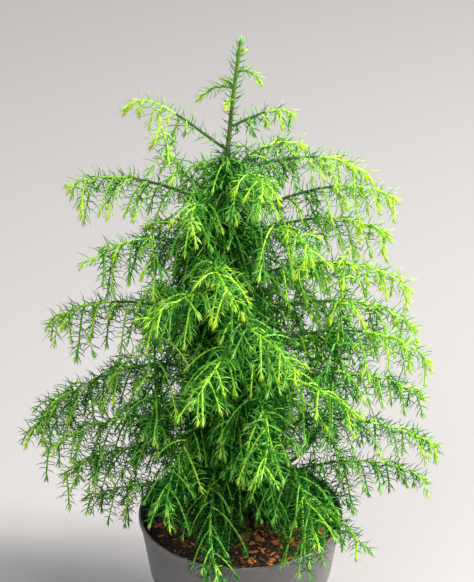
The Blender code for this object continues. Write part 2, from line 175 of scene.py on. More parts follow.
def turned(profile, sides):
    """A solid of revolution about +Z from a profile of (radius, height)."""
    bm = bmesh.new()
    verts = [bm.verts.new((radius, 0.0, height)) for radius, height in profile]
    edges = [bm.edges.new(pair) for pair in zip(verts, verts[1:])]
    bmesh.ops.spin(
        bm,
        geom=verts + edges,
        cent=(0, 0, 0),
        axis=(0, 0, 1),
        angle=2 * math.pi,
        steps=sides,
        use_merge=True,
    )
    bmesh.ops.remove_doubles(bm, verts=bm.verts, dist=1e-6)
    bmesh.ops.recalc_face_normals(bm, faces=bm.faces)
    return bm


POT_LOW, POT_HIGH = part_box("pot")
POT_HEIGHT = POT_HIGH[2]
RIM_RADIUS = POT_HIGH[0]
COLLAR_FOOT = (0.0766, 0.079)
BODY_TOP = (0.0722, 0.0685)
BASE_RADIUS = 0.061
WALL = 0.0016
LIP = 0.0009
POT_SIDES = 128
DRAIN_CIRCLE = 0.046
DRAIN_RADIUS = 0.0035
DRAIN_HOLES = 8

outside = [
    (0.030, 0.0),
    (0.031, 0.0004),
    (0.053, 0.0004),
    (0.054, 0.0),
    (BASE_RADIUS - 0.003, 0.0),
    (BASE_RADIUS, 0.003),
    (BODY_TOP[0] - 0.0012, BODY_TOP[1] - 0.007),
    (BODY_TOP[0], BODY_TOP[1]),
    (BODY_TOP[0] + 0.0018, BODY_TOP[1] + 0.0016),
    (COLLAR_FOOT[0] - 0.0022, COLLAR_FOOT[1] - 0.0075),
    (COLLAR_FOOT[0] - 0.0006, COLLAR_FOOT[1] - 0.003),
    (COLLAR_FOOT[0], COLLAR_FOOT[1]),
    (RIM_RADIUS - 0.0014, POT_HEIGHT - 0.0052),
    (RIM_RADIUS, POT_HEIGHT - 0.0044),
    (RIM_RADIUS, POT_HEIGHT - LIP),
    (RIM_RADIUS - LIP, POT_HEIGHT),
]
inside = [
    (RIM_RADIUS - LIP - WALL * 0.6, POT_HEIGHT),
    (RIM_RADIUS - LIP - WALL, POT_HEIGHT - 0.001),
    (RIM_RADIUS - 2 * WALL, POT_HEIGHT - 0.0056),
    (COLLAR_FOOT[0] - WALL, COLLAR_FOOT[1]),
    (BODY_TOP[0] - WALL, BODY_TOP[1]),
    (BASE_RADIUS - WALL, 0.006),
    (BASE_RADIUS - 0.005, 0.0025),
]
pot_mesh = turned([(0.0, 0.0), *outside, *inside, (0.0, 0.0025)], POT_SIDES)
rings = [
    edge
    for edge in pot_mesh.edges
    if abs(edge.verts[0].co.z - edge.verts[1].co.z) < 1e-6
    and len(edge.link_faces) == 2
    and edge.calc_face_angle(0.0) > math.radians(14)
    and edge.verts[0].co.xy.length > 0.058
]
bmesh.ops.bevel(
    pot_mesh,
    geom=rings,
    offset=0.0004,
    segments=2,
    affect="EDGES",
    profile=0.5,
    material=-1,
)

pot_plastic = Finish("pot_plastic", (0.13, 0.125, 0.12), 0.42)
mottle = pot_plastic.noise(38.0, 4.0, 0.6)
scuffs = pot_plastic.noise(420.0, 2.0, 0.6, (1.0, 1.0, 0.08)).between(0.60, 0.74)
near_rim = pot_plastic.height().between(POT_HEIGHT - 0.006, POT_HEIGHT - 0.0005)
dust = pot_plastic.noise(150.0, 5.0, 0.65).between(0.52, 0.72)
plastic = pot_plastic.blend(mottle, (0.096, 0.092, 0.090), (0.140, 0.132, 0.124))
dusty = pot_plastic.blend(dust * (0.12 + 0.35 * near_rim), plastic, (0.30, 0.28, 0.25))
pot_plastic.set("Base Color", pot_plastic.blend(scuffs * 0.10, dusty, (0.33, 0.32, 0.31)))
pot_plastic.set("Roughness", 0.27 + 0.14 * mottle + 0.2 * dust)
pot_plastic.bump(pot_plastic.noise(900.0, 2.0) * 0.5 + scuffs * 0.5, 0.00012, 0.6)
pot = shown("pot_shell", pot_mesh, pot_plastic, ["pot"], "pot_plastic", 32)

# The eight drain holes are moulded through the pot's floor.
drains = bmesh.new()
for k in range(DRAIN_HOLES):
    turn = 2 * math.pi * (k + 0.5) / DRAIN_HOLES
    centre = Vector((math.cos(turn), math.sin(turn), 0.0)) * DRAIN_CIRCLE
    bmesh.ops.create_cone(
        drains,
        cap_ends=True,
        segments=24,
        radius1=DRAIN_RADIUS,
        radius2=DRAIN_RADIUS,
        depth=0.012,
        matrix=Matrix.Translation(centre),
    )
drain_mesh = bpy.data.meshes.new("drains")
drains.to_mesh(drain_mesh)
drains.free()
drain_cutter = bpy.data.objects.new("drains", drain_mesh)
bpy.context.scene.collection.objects.link(drain_cutter)
drilling = pot.modifiers.new("drain_holes", "BOOLEAN")
drilling.operation = "DIFFERENCE"
drilling.solver = "EXACT"
drilling.object = drain_cutter
drilled = pot.evaluated_get(bpy.context.evaluated_depsgraph_get())
pot.data = bpy.data.meshes.new_from_object(drilled)
pot.modifiers.clear()
bpy.data.objects.remove(drain_cutter, do_unlink=True)


# The growing medium: dark damp peat and composted bark that fills the pot to just below its rim.
# Its top is crumbly, strewn with chips of bark from near black to orange and a few pale bits.
SOIL_LEVEL = 0.118
SOIL_EDGE = RIM_RADIUS - LIP - WALL - 0.0014
TRUNK_PLACE = 0.011
SOIL_RINGS = 30
SOIL_SIDES = 96
SOIL_LUMPS = 0.0016


def soil_height(x, y):
    """The height of the crumbly top, which dips a little at the pot's wall and at the trunk."""
    spread = math.hypot(x, y)
    coarse = noise.fractal(Vector((x, y, 0.3)) * 95.0, 0.9, 2.0, 4)
    fine = noise.fractal(Vector((x, y, 4.0)) * 420.0, 0.8, 2.0, 3)
    ease = min(1.0, max(0.0, (spread - TRUNK_PLACE) / 0.008))
    return SOIL_LEVEL + ease * (0.0022 * coarse + 0.0009 * fine) - 0.0006


soil_profile = [(0.0, 0.0028), (BASE_RADIUS - 0.0056, 0.0028), (BASE_RADIUS - 0.0022, 0.0065)]
soil_profile += [(BODY_TOP[0] - WALL - 0.0006, BODY_TOP[1])]
soil_profile += [(COLLAR_FOOT[0] - WALL - 0.0006, COLLAR_FOOT[1])]
soil_profile += [(SOIL_EDGE, SOIL_LEVEL - 0.004)]
for ring in range(SOIL_RINGS):
    soil_profile.append((SOIL_EDGE * (1 - ring / SOIL_RINGS) ** 0.9, SOIL_LEVEL))
soil_profile.append((0.0, SOIL_LEVEL))
soil_mesh = turned(soil_profile, SOIL_SIDES)
for vert in soil_mesh.verts:
    if vert.co.z > SOIL_LEVEL - 0.001:
        vert.co.z = soil_height(vert.co.x, vert.co.y)

peat = Finish("damp_peat", (0.02, 0.013, 0.009), 0.92)
clods = peat.noise(260.0, 5.0, 0.65)
grains = peat.noise(1300.0, 3.0, 0.6)
peat.set(
    "Base Color",
    peat.blend(clods.between(0.35, 0.75), (0.010, 0.006, 0.004), (0.060, 0.030, 0.016)),
)
peat.bump(clods + grains * 0.6, 0.0016)
shown("growing_medium_body", soil_mesh, peat, ["growing_medium"], "growing_medium", 60)


def scatter(seed, count, length, width, thickness, spread, lift):
    """Angular crumbs lying on the medium: lumps squashed from small icospheres."""
    rng = random.Random(seed)
    bm = bmesh.new()
    for _ in range(count):
        radius = (SOIL_EDGE - 0.002) * math.sqrt(rng.uniform(0.02, 1.0))
        turn = rng.uniform(*spread)
        x, y = radius * math.cos(turn), radius * math.sin(turn)
        size = rng.uniform(0.55, 1.0) ** 1.5
        half = Vector((length, width * rng.uniform(0.6, 1.2), thickness)) * size / 2
        if radius + half.x > SOIL_EDGE:
            continue
        tip = Matrix.Rotation(rng.gauss(0.0, 0.32), 4, "X") @ Matrix.Rotation(
            rng.gauss(0.0, 0.32), 4, "Y"
        )
        place = (
            Matrix.Translation((x, y, soil_height(x, y) + half.z * lift))
            @ Matrix.Rotation(rng.uniform(0, 2 * math.pi), 4, "Z")
            @ tip
            @ Matrix.Diagonal((*half, 1.0))
        )
        made = bmesh.ops.create_icosphere(bm, subdivisions=1, radius=1.0)
        for vert in made["verts"]:
            vert.co *= 1.0 + rng.uniform(-0.28, 0.28)
            vert.co = place @ vert.co
    return bm


def chip_finish(name, dark, light):
    finish = Finish(name, light, 0.85)
    grain = finish.noise(900.0, 3.0, 0.6, (1.0, 0.25, 1.0))
    finish.set("Base Color", finish.blend(grain.between(0.3, 0.7), dark, light))
    finish.bump(grain, 0.0004)
    return finish


ALL_ROUND = (0.0, 2 * math.pi)
crumb_finish = chip_finish("dark_crumbs", (0.011, 0.007, 0.005), (0.050, 0.028, 0.016))
bark_finish = chip_finish("bark_chips", (0.050, 0.019, 0.008), (0.200, 0.080, 0.030))
fresh_finish = chip_finish("orange_bark_chips", (0.260, 0.065, 0.014), (0.740, 0.270, 0.080))
pale_finish = chip_finish("pale_grit", (0.35, 0.33, 0.28), (0.60, 0.57, 0.50))
SOIL = (["growing_medium"], "growing_medium")
shown("crumbs", scatter(1, 2600, 0.0030, 0.0022, 0.0018, ALL_ROUND, 0.3), crumb_finish, *SOIL)
shown("bark_chips", scatter(2, 620, 0.0085, 0.0040, 0.0018, ALL_ROUND, 0.5), bark_finish, *SOIL)
FRONT_RIGHT = (-1.6, 0.0)
orange = scatter(3, 210, 0.0078, 0.0038, 0.0016, ALL_ROUND, 0.8)
shown("orange_bark_chips", orange, fresh_finish, *SOIL)
orange = scatter(5, 120, 0.0105, 0.0048, 0.0020, FRONT_RIGHT, 1.0)
shown("orange_bark_drift", orange, fresh_finish, *SOIL)
shown("pale_grit", scatter(4, 46, 0.0030, 0.0024, 0.0018, ALL_ROUND, 0.8), pale_finish, *SOIL)


# The trunk: one slender stem from a flared foot to the leading shoot, bowed a little to the left.
# Its bark is thin, reddish brown and fibrous low down, and olive green where it is young.
PLANT_TOP = 0.547
TRUNK_TOP = 0.490
TRUNK_BOW = 0.0135
TRUNK_FOOT_RADIUS = 0.0044
TRUNK_TIP_RADIUS = 0.0016
ROOT_FLARE = 0.0034
ROOT_FLARE_HEIGHT = 0.006
GAP = 0.0003


def direction(turn, rise):
    """The unit vector at a turn about +Z and a rise above the level, both in degrees."""
    a = math.radians(turn)
    e = math.radians(rise)
    return np.array([math.cos(a) * math.cos(e), math.sin(a) * math.cos(e), math.sin(e)])


def unit(v):
    return v / np.linalg.norm(v, axis=-1, keepdims=True)


def path_length(points):
    return float(np.linalg.norm(np.diff(points, axis=0), axis=1).sum())


def resample(points, count, start=0.0, end=1.0):
    """Even points along a path, from one share of its length to another."""
    steps = np.linalg.norm(np.diff(points, axis=0), axis=1)
    along = np.concatenate([[0.0], np.cumsum(steps)])
    wanted = np.linspace(start, end, count + 1) * along[-1]
    return np.stack([np.interp(wanted, along, points[:, axis]) for axis in range(3)], axis=1)


def carried_frames(points):
    """(along, side, over) at each point of a path, carried along it without a twist."""
    along = unit(np.gradient(points, axis=0))
    helper = np.array([0.0, 0.0, 1.0]) if abs(along[0][2]) < 0.95 else np.array([0.0, 1.0, 0.0])
    side = unit(np.cross(along[0], helper))
    sides = []
    for forward in along:
        side = unit(side - forward * np.dot(side, forward))
        sides.append(side)
    sides = np.array(sides)
    return along, sides, np.cross(sides, along)


def trunk_point(height):
    """The trunk's axis: it bows a little to the left and comes back under its tip."""
    share = max(0.0, height - SOIL_LEVEL) / (PLANT_TOP - SOIL_LEVEL)
    return np.array([-TRUNK_BOW * math.sin(math.pi * share**1.3), 0.0, height])


def trunk_radius(height):
    share = (height - SOIL_LEVEL) / (TRUNK_TOP - SOIL_LEVEL)
    flare = ROOT_FLARE * math.exp(-(height - SOIL_LEVEL) / ROOT_FLARE_HEIGHT)
    return TRUNK_FOOT_RADIUS + (TRUNK_TIP_RADIUS - TRUNK_FOOT_RADIUS) * share + flare


def trunk_axis(low, high, count):
    return np.array([trunk_point(height) for height in np.linspace(low, high, count + 1)])


class Tubes:
    """Many tapering tubes gathered as arrays, and joined into one mesh."""

    def __init__(self, sides):
        self.sides = sides
        self.verts = []
        self.quads = []
        self.tris = []
        self.count = 0

    def add(self, points, radii, relief=None):
        """One tube, closed by a point at each end. relief scales the radius at each corner."""
        _, side, over = carried_frames(points)
        turns = 2 * math.pi * np.arange(self.sides) / self.sides
        out = (
            side[:, None] * np.cos(turns)[None, :, None]
            + over[:, None] * np.sin(turns)[None, :, None]
        )
        radii = np.asarray(radii)[:, None] * (1.0 if relief is None else relief)
        rings = points[:, None] + out * np.broadcast_to(radii, out.shape[:2])[..., None]
        first = self.count
        rows, sides = len(points), self.sides
        corner = first + np.arange(rows * sides).reshape(rows, sides)
        after = np.roll(corner, -1, axis=1)
        quads = np.stack([corner[:-1], corner[1:], after[1:], after[:-1]], axis=-1)
        low, high = first + rows * sides, first + rows * sides + 1
        ends = [
            np.stack([corner[0], after[0], np.full(sides, low)], axis=-1),
            np.stack([after[-1], corner[-1], np.full(sides, high)], axis=-1),
        ]
        self.verts += [rings.reshape(-1, 3), points[:1], points[-1:]]
        self.quads.append(quads.reshape(-1, 4))
        self.tris += ends
        self.count += rows * sides + 2

    def piece(self, name):
        quads = np.concatenate(self.quads)
        tris = np.concatenate(self.tris)
        return mesh_piece(name, np.concatenate(self.verts), [quads, tris])


def mesh_piece(name, verts, face_groups):
    """An object from arrays of corners and of faces with the same number of sides."""
    loops = np.concatenate([group.ravel() for group in face_groups])
    sizes = np.concatenate([np.full(len(group), group.shape[1]) for group in face_groups])
    starts = np.concatenate([[0], np.cumsum(sizes)[:-1]])
    mesh = bpy.data.meshes.new(name)
    mesh.vertices.add(len(verts))
    mesh.vertices.foreach_set("co", verts.astype(np.float32).ravel())
    mesh.loops.add(len(loops))
    mesh.loops.foreach_set("vertex_index", loops.astype(np.int32))
    mesh.polygons.add(len(sizes))
    mesh.polygons.foreach_set("loop_start", starts.astype(np.int32))
    mesh.update(calc_edges=True)
    mesh.validate()
    return bpy.data.objects.new(name, mesh)


def bark_relief(points, sides, depth, seed):
    """Fibrous ridges that run along a limb, as a scale on each corner's radius."""
    relief = np.ones((len(points), sides))
    for row, point in enumerate(points):
        for corner in range(sides):
            turn = 2 * math.pi * corner / sides
            place = Vector((math.cos(turn) * 1.6, math.sin(turn) * 1.6, point[2] * 55 + seed))
            relief[row, corner] += depth * noise.fractal(place, 0.8, 2.0, 3)
    return relief


trunk_points = trunk_axis(SOIL_LEVEL - 0.001, TRUNK_TOP + GAP, 260)
trunk_tube = Tubes(20)
trunk_radii = [trunk_radius(max(point[2], SOIL_LEVEL)) for point in trunk_points]
trunk_tube.add(trunk_points, trunk_radii, bark_relief(trunk_points, 20, 0.10, 0.0))

bark = Finish("young_bark", (0.13, 0.066, 0.030), 0.78)
fibres = bark.noise(900.0, 4.0, 0.6, (1.0, 1.0, 0.12))
blotch = bark.noise(120.0, 3.0, 0.6)
brown = bark.blend(fibres.between(0.30, 0.72), (0.045, 0.020, 0.010), (0.230, 0.110, 0.050))
olive = bark.blend(fibres.between(0.30, 0.72), (0.040, 0.085, 0.010), (0.130, 0.210, 0.030))
young = (bark.height() + blotch * 0.05).between(0.380, 0.470)
bark.set("Base Color", bark.blend(young, brown, olive))
bark.bump(fibres, 0.0004)
dress(trunk_tube.piece("trunk_bark"), bark, ["trunk"], 50)


# The boughs: slender limbs round the trunk, which rise, arch over and hang at their tips, and
# two that turn up beside it. Where one is bare it is brown wood, grown into the trunk by a collar.
Side = namedtuple("Side", "name leave height reach turn rise end share")
SIDES = (
    Side("top_right", 0.476, 0.482, 0.040, 6, 26, -65, None),
    Side("top_left", 0.457, 0.491, 0.084, 181, 36, -60, None),
    Side("top_left_upright", 0.416, 0.484, 0.062, 190, 24, 76, None),
    Side("upper_right", 0.439, 0.431, 0.096, 3, 14, -60, 0.20),
    Side("high_left", 0.406, 0.429, 0.132, 182, 30, -25, 0.20),
    Side("high_right", 0.394, 0.412, 0.121, 2, 30, -40, 0.20),
    Side("shoulder_left", 0.366, 0.371, 0.116, 190, 38, -50, None),
    Side("shoulder_right", 0.374, 0.373, 0.118, 10, 28, -45, None),
    Side("elbow_right", 0.338, 0.339, 0.133, 357, 32, -50, None),
    Side("middle_left", 0.300, 0.307, 0.151, 181, 34, -46, 0.20),
    Side("middle_right", 0.300, 0.291, 0.142, 8, 32, -50, None),
    Side("waist_right", 0.276, 0.281, 0.150, 354, 32, -50, 0.20),
    Side("waist_left", 0.251, 0.205, 0.171, 180, 40, -64, 0.20),
    Side("skirt_right", 0.232, 0.229, 0.150, 6, 34, -45, None),
    Side("skirt_left", 0.212, 0.205, 0.160, 191, 26, -40, None),
    Side("low_right", 0.200, 0.194, 0.161, 0, 28, -30, 0.20),
    Side("low_left", 0.186, 0.162, 0.148, 178, 14, -38, None),
    Side("lowest_right", 0.148, 0.166, 0.153, 356, 36, -40, None),
    Side("lowest_left", 0.142, 0.136, 0.128, 176, 26, -30, None),
    Side("front_right_skirt", 0.148, 0.137, 0.120, 326, 34, -50, None),
    Side("left_upright", 0.166, 0.396, 0.076, 206, 6, 80, 0.28),
    Side("right_upright", 0.170, 0.384, 0.087, 341, 6, 78, 0.28),
)
FILLERS = 12
FILLER_TOP = 0.430
FILLER_LOW = 0.158
FILLER_LIFT = 0.016
FILLER_RISE = 36
FILLER_END = -48
FILLER_FAN = 104
FILLER_SWING = 32
CROWN_REACH = 0.156
CROWN_TAPER = 0.60
SKIRT = 0.220
FRONT_SKIRT_REACH = 0.76
FRONT_SKIRT_DROP = 0.034
BACK_BOUGHS = (5,)
BACK_BOUGH_SHARE = 0.25
GOLDEN_SHARE = 0.618034
BOUGH_RADIUS = 0.0021
STEM_RADIUS = 0.0013
SAMPLE_STEP = 0.002
Limb = namedtuple("Limb", "name path share stem length")


def arched_path(start, end, leaving, arriving):
    """A cubic arch between two points that leaves and arrives along two directions."""
    chord = np.linalg.norm(end - start)
    t = np.linspace(0.0, 1.0, 41)[:, None]
    first = start + leaving * chord * 0.42
    last = end - arriving * chord * 0.30
    return (
        (1 - t) ** 3 * start
        + 3 * (1 - t) ** 2 * t * first
        + 3 * (1 - t) * t**2 * last
        + t**3 * end
    )


def make_limb(name, path, share):
    start = share or 0.0
    stem = resample(path, round(path_length(path) * (1 - start) / SAMPLE_STEP), start)
    return Limb(name, path, share, stem, path_length(stem))


def trunk_surface(height, turn):
    return trunk_point(height) + direction(turn, 0) * trunk_radius(height)


def limb_path(leave, height, reach, turn, rise, end, swing=0):
    """The arch of a limb from the trunk's side out to its tip, swung aside and back."""
    tip = direction(turn, 0) * reach
    tip[2] = height
    leaving = direction(turn + swing, rise)
    arriving = direction(turn - swing, end)
    return arched_path(trunk_surface(leave, turn), tip, leaving, arriving)


def crown_reach(height):
    """How far the crown reaches from the trunk's line at a height."""
    share = (PLANT_TOP - height) / (PLANT_TOP - FILLER_LOW)
    return CROWN_REACH * share**CROWN_TAPER


limbs = []
for side in SIDES:
    path = limb_path(side.leave, side.height, side.reach, side.turn, side.rise, side.end)
    limbs.append(make_limb(side.name, path, side.share))
for k in range(FILLERS):
    for name, middle_turn, offset in (("front", 270, 0.0), ("back", 90, 0.5)):
        leave = FILLER_TOP + (FILLER_LOW - FILLER_TOP) * (k + offset) / (FILLERS - 0.5)
        fan = ((k + 1) * GOLDEN_SHARE + offset) % 1 - 0.5
        height = leave + FILLER_LIFT * (leave - FILLER_LOW) / (FILLER_TOP - FILLER_LOW)
        reach = crown_reach(height)
        if name == "front" and leave < SKIRT:
            reach *= FRONT_SKIRT_REACH
            height -= FRONT_SKIRT_DROP
        turn = middle_turn + FILLER_FAN * fan
        share = BACK_BOUGH_SHARE if name == "back" and k in BACK_BOUGHS else None
        swing = FILLER_SWING * (-1) ** k
        path = limb_path(leave, height, reach, turn, FILLER_RISE, FILLER_END, swing)
        limbs.append(make_limb(f"{name}_{k + 1}", path, share))
leader = make_limb("leading_shoot", trunk_axis(TRUNK_TOP, PLANT_TOP - 0.002, 24), None)

bough_tubes = Tubes(12)
for seed, limb in enumerate(limbs):
    if limb.share is not None:
        points = resample(limb.path, 60, 0, limb.share)
        points = np.concatenate([points[:1] - (points[1:2] - points[:1]) * 1.2, points])
        radii = np.linspace(BOUGH_RADIUS, STEM_RADIUS, len(points))
        radii += 0.0012 * np.exp(-np.arange(len(points)) / 3.0)
        bough_tubes.add(points, radii, bark_relief(points, 12, 0.10, seed * 7.0))
dress(bough_tubes.piece("bough_bark"), bark, BOUGHS, 50)


# The twigs: each mass is one stem that sends out twigs at golden-angle turns, and these carry a
# few side shoots. They are soft, so they bend over and hang, and their bark is green when young.
GOLDEN_ANGLE = math.radians(137.508)
TWIG_EVERY = 0.0046
WHIP_EVERY = 0.0050
BACK_EVERY = 0.0040
TWIG_LENGTH = 0.046
TWIG_LEAST = 0.011
LEFT_TWIGS = 0.96
RIGHT_TWIGS = 0.82
TWIG_SLOPE = 0.30
TWIG_ANGLE = 60
TWIG_CLIMB = 0.38
TWIG_SAG = 1.05
VIGOUR_DEPTH = 0.17
OWN_VIGOUR = {
    "top_left": (0.62, 0.34),
    "top_right": (0.85, 0.0),
    "front_11": (1.40, 0.0),
    "front_12": (0.90, 0.0),
    "front_right_skirt": (0.80, 0.0),
}
TWIG_RADIUS = 0.00090
TWIG_TIP_RADIUS = 0.00060
SHOOT_EVERY = 0.0150
SHOOT_LENGTH = 0.020
SHOOT_RADIUS = 0.00060
BARE_TWIG = 0.040
SPACE_OVERLAP = 0.010
SEED = 11
Shoot = namedtuple("Shoot", "path thick thin order start freshness")

stem_tree = kdtree.KDTree(sum(len(limb.stem) for limb in limbs) + len(leader.stem))
for index, point in enumerate(np.concatenate([limb.stem for limb in [*limbs, leader]])):
    stem_tree.insert(point, index)
stem_tree.balance()


def has_room(limb, point):
    """True where a point lies by its own stem, and clear of the medium and the pot."""
    spread = math.hypot(point[0], point[1])
    floor = SOIL_LEVEL + 0.0036
    if spread > RIM_RADIUS - 4 * WALL:
        floor = POT_HEIGHT + 0.0012
    if spread < RIM_RADIUS + 2 * WALL and point[2] < floor:
        return False
    own = np.linalg.norm(limb.stem - point, axis=1).min()
    return own < stem_tree.find(point)[2] + (INNER_OVERLAP if limb is inner else SPACE_OVERLAP)


def hanging(limb, root, aim, reach, sag):
    """A twig's path, bending down as it goes out and cut where it leaves its mass's space."""
    t = np.linspace(0.0, 1.0, 13)[:, None]
    path = root + (aim * t + np.array([0.0, 0.0, -sag]) * t**2) * reach
    for count, point in enumerate(path):
        if not has_room(limb, point):
            return path[:count]
    return path


def twig_reach(from_tip, height):
    """Twigs grow longer back from their stem's tip, and less so in the young top of the plant."""
    vigour = min(1.0, (PLANT_TOP - height) / VIGOUR_DEPTH)
    return min(TWIG_LENGTH * vigour, TWIG_LEAST + TWIG_SLOPE * from_tip)


def crown_freshness_and_shade(point):
    """0 in the crown's inside and up to 1 at its outside and its top: young growth, and painted shade
    that darkens the inside.
    """
    trunk_x = trunk_point(min(max(point[2], SOIL_LEVEL), PLANT_TOP))[0]
    spread = math.hypot(point[0] - trunk_x, point[1])
    crown = CROWN_REACH * min(1.0, max(0.12, (PLANT_TOP + 0.02 - point[2]) / 0.40)) ** CROWN_TAPER
    high = (point[2] - SOIL_LEVEL) / (PLANT_TOP - SOIL_LEVEL)
    return 0.03 + 0.36 * min(1.15, spread / crown) ** 1.5 + 0.23 * high


INNER_SPRAYS = (0.150, 0.455)
INNER_EVERY = 0.0011
INNER_REACH = 1.25
INNER_OVERLAP = 0.030
inner_stem = trunk_axis(*INNER_SPRAYS, 150)
inner = Limb("inner_sprays", inner_stem, None, inner_stem, path_length(inner_stem))

shoots = []
for owner, limb in enumerate([*limbs, inner]):
    rng = random.Random(SEED * 100 + owner)
    bare = 0.006 if limb.share is None else 0.0
    # The stem's green is set by its tip's place in the crown: darker inside it, partly as painted shade.
    tip_freshness_and_shade = crown_freshness_and_shade(limb.stem[-1])
    if limb is not inner:
        shoots.append(Shoot(limb.stem, STEM_RADIUS, 0.0006, 0, bare, tip_freshness_and_shade))
    along, side, over = carried_frames(limb.stem)
    turn = rng.uniform(0, 2 * math.pi)
    at_side = owner < len(SIDES)
    every = INNER_EVERY if limb is inner else TWIG_EVERY if at_side else WHIP_EVERY
    if limb.name.startswith("back"):
        every = BACK_EVERY
    count = round(limb.length / every)
    for k in range(1, count):
        turn += GOLDEN_ANGLE
        index = round(k / count * (len(limb.stem) - 1))
        lean = math.radians(TWIG_ANGLE + rng.uniform(-26, 18))
        out = side[index] * math.cos(turn) + over[index] * math.sin(turn)
        aim = along[index] * math.cos(lean) + out * math.sin(lean)
        aim[2] = min(aim[2], TWIG_CLIMB)
        reach = twig_reach(limb.length * (1 - k / count), limb.stem[index][2])
        reach *= rng.uniform(0.50, 1.15) if at_side else rng.uniform(0.70, 1.25)
        if limb is inner:
            reach *= INNER_REACH
        if limb.name in OWN_VIGOUR:
            vigour, bare_share = OWN_VIGOUR[limb.name]
            reach *= vigour * (k / count > bare_share)
        sag = TWIG_SAG * (rng.uniform(0.7, 1.35) if at_side else rng.uniform(0.35, 1.15))
        if at_side:
            reach *= LEFT_TWIGS if limb.stem[-1][0] < 0 else RIGHT_TWIGS
        path = hanging(limb, limb.stem[index], aim, reach, sag)
        length = path_length(path) if len(path) > 1 else 0.0
        if length < 0.006:
            continue
        path = resample(path, max(3, round(length / 0.004)))
        # A twig's green is set by its tip's place in the crown: darker inside it, partly as painted
        # shade.
        freshness = crown_freshness_and_shade(path[-1]) + rng.gauss(0.0, 0.15)
        shoots.append(Shoot(path, TWIG_RADIUS, TWIG_TIP_RADIUS, 1, 0.0015, freshness))
        twig_along, twig_side, twig_over = carried_frames(path)
        shoot_turn = rng.uniform(0, 2 * math.pi)
        if length < BARE_TWIG:
            continue
        for j in range(1, math.ceil((length - 0.008) / SHOOT_EVERY)):
            share = j * SHOOT_EVERY / length
            at = round(share * (len(path) - 1))
            shoot_turn += GOLDEN_ANGLE
            lean = math.radians(rng.uniform(45, 70))
            out = twig_side[at] * math.cos(shoot_turn) + twig_over[at] * math.sin(shoot_turn)
            aim = twig_along[at] * math.cos(lean) + out * math.sin(lean)
            aim[2] = min(aim[2], TWIG_CLIMB)
            reach = SHOOT_LENGTH * (1.15 - 0.6 * share) * rng.uniform(0.6, 1.1)
            fine = hanging(limb, path[at], aim, reach, TWIG_SAG * 0.8)
            if len(fine) > 3:
                # Side shoots take their green the same way, darker inside the crown partly as painted
                # shade.
                freshness = crown_freshness_and_shade(fine[-1]) + rng.gauss(0.0, 0.10)
                fine = resample(fine, 4)
                shoots.append(Shoot(fine, SHOOT_RADIUS, 0.00035, 2, 0.001, freshness))

BARKS = (
    ("stems_olive", (0.035, 0.120, 0.010)),
    ("twigs_green", (0.130, 0.400, 0.015)),
    ("twigs_fresh", (0.360, 0.690, 0.020)),
)
OLD_SHARE = 0.55
bark_tubes = [Tubes(5), Tubes(4), Tubes(4)]
for shoot in shoots:
    # Twig bark inside the crown keeps the darker green, partly as painted shade.
    kind = 1 + (shoot.freshness > 0.34)
    if shoot.order:
        bark_tubes[kind].add(shoot.path, np.linspace(shoot.thick, shoot.thin, len(shoot.path)))
        continue
    points = shoot.path[::2]
    radii = np.linspace(shoot.thick, shoot.thin, len(points))
    join = round(OLD_SHARE * (len(points) - 1))
    bark_tubes[0].add(points[: join + 1], radii[: join + 1])
    bark_tubes[kind].add(points[join:], radii[join:])
for tubes, (name, colour) in zip(bark_tubes, BARKS, strict=True):
    dress(tubes.piece(name), Finish(name, colour, 0.55), MASSES, 60)

# The leading shoot is a stout yellow-green stem with a few short arching shoots near its tip.
LEADER_RADIUS = 0.0018
LEADER_TIP_RADIUS = 0.0012
Sprig = namedtuple("Sprig", "height turn rise length sag")
SPRIGS = (
    Sprig(0.497, 250, 30, 0.018, 0.5),
    Sprig(0.506, 178, 28, 0.030, 0.75),
    Sprig(0.507, 150, 42, 0.012, 0.3),
    Sprig(0.519, 4, 34, 0.022, 0.95),
    Sprig(0.532, 40, 40, 0.007, 0.2),
)
leader_tube = Tubes(10)
leader_points = resample(leader.path, 40)
leader_radii = np.linspace(LEADER_RADIUS, LEADER_TIP_RADIUS, len(leader_points))
leader_tube.add(leader_points, leader_radii, bark_relief(leader_points, 10, 0.10, 3.0))
sprigs = []
for sprig in SPRIGS:
    aim = direction(sprig.turn, sprig.rise)
    t = np.linspace(0.0, 1.0, 13)[:, None]
    path = trunk_point(sprig.height) + (aim * t + np.array([0.0, 0.0, -sprig.sag]) * t**2) * sprig.length
    sprigs.append(Shoot(path, 0.0011, 0.0007, 1, 0.002, 0.62))
    leader_tube.add(path, np.linspace(0.0011, 0.0007, len(path)))
leader_bark = Finish("leader_bark", (0.11, 0.25, 0.015), 0.5)
dress(leader_tube.piece("leader_stem"), leader_bark, ["leading_shoot_foliage"], 60)


# The needles: soft, curved and pointed, set in spirals all round the twigs and side shoots.
# The crown's inside is a deep green that is partly painted shade, and the brush-like ends of the shoots
# are fresh yellow-green.
NEEDLE_LENGTH = 0.0124
NEEDLE_WIDTH = 0.00078
NEEDLE_FOOT = 0.00060
NEEDLE_BEND = 0.52
NEEDLE_TURN = math.radians(26)
BRUSH_SPACING = 0.00062
OPEN_SPACING = 0.00135
LOW_BRUSH = 0.0060
HIGH_BRUSH = 0.0150
BRUSH_OPENING = 1.3
BRUSH_STOUTNESS = 0.45
OPEN_ANGLE = 80
BRUSH_ANGLE = 9
# The deep and dark greens go to needles inside the crown and are partly painted shade.
GREENS = (
    ("needles_deep", (0.002, 0.050, 0.003)),
    ("needles_dark", (0.008, 0.140, 0.014)),
    ("needles_middle", (0.060, 0.320, 0.025)),
    ("needles_bright", (0.190, 0.530, 0.080)),
    ("needles_light", (0.400, 0.720, 0.110)),
    ("needles_fresh", (0.520, 0.820, 0.030)),
)
MOST_NEEDLES = 19000
LONGEST_SHOOT = 0.30

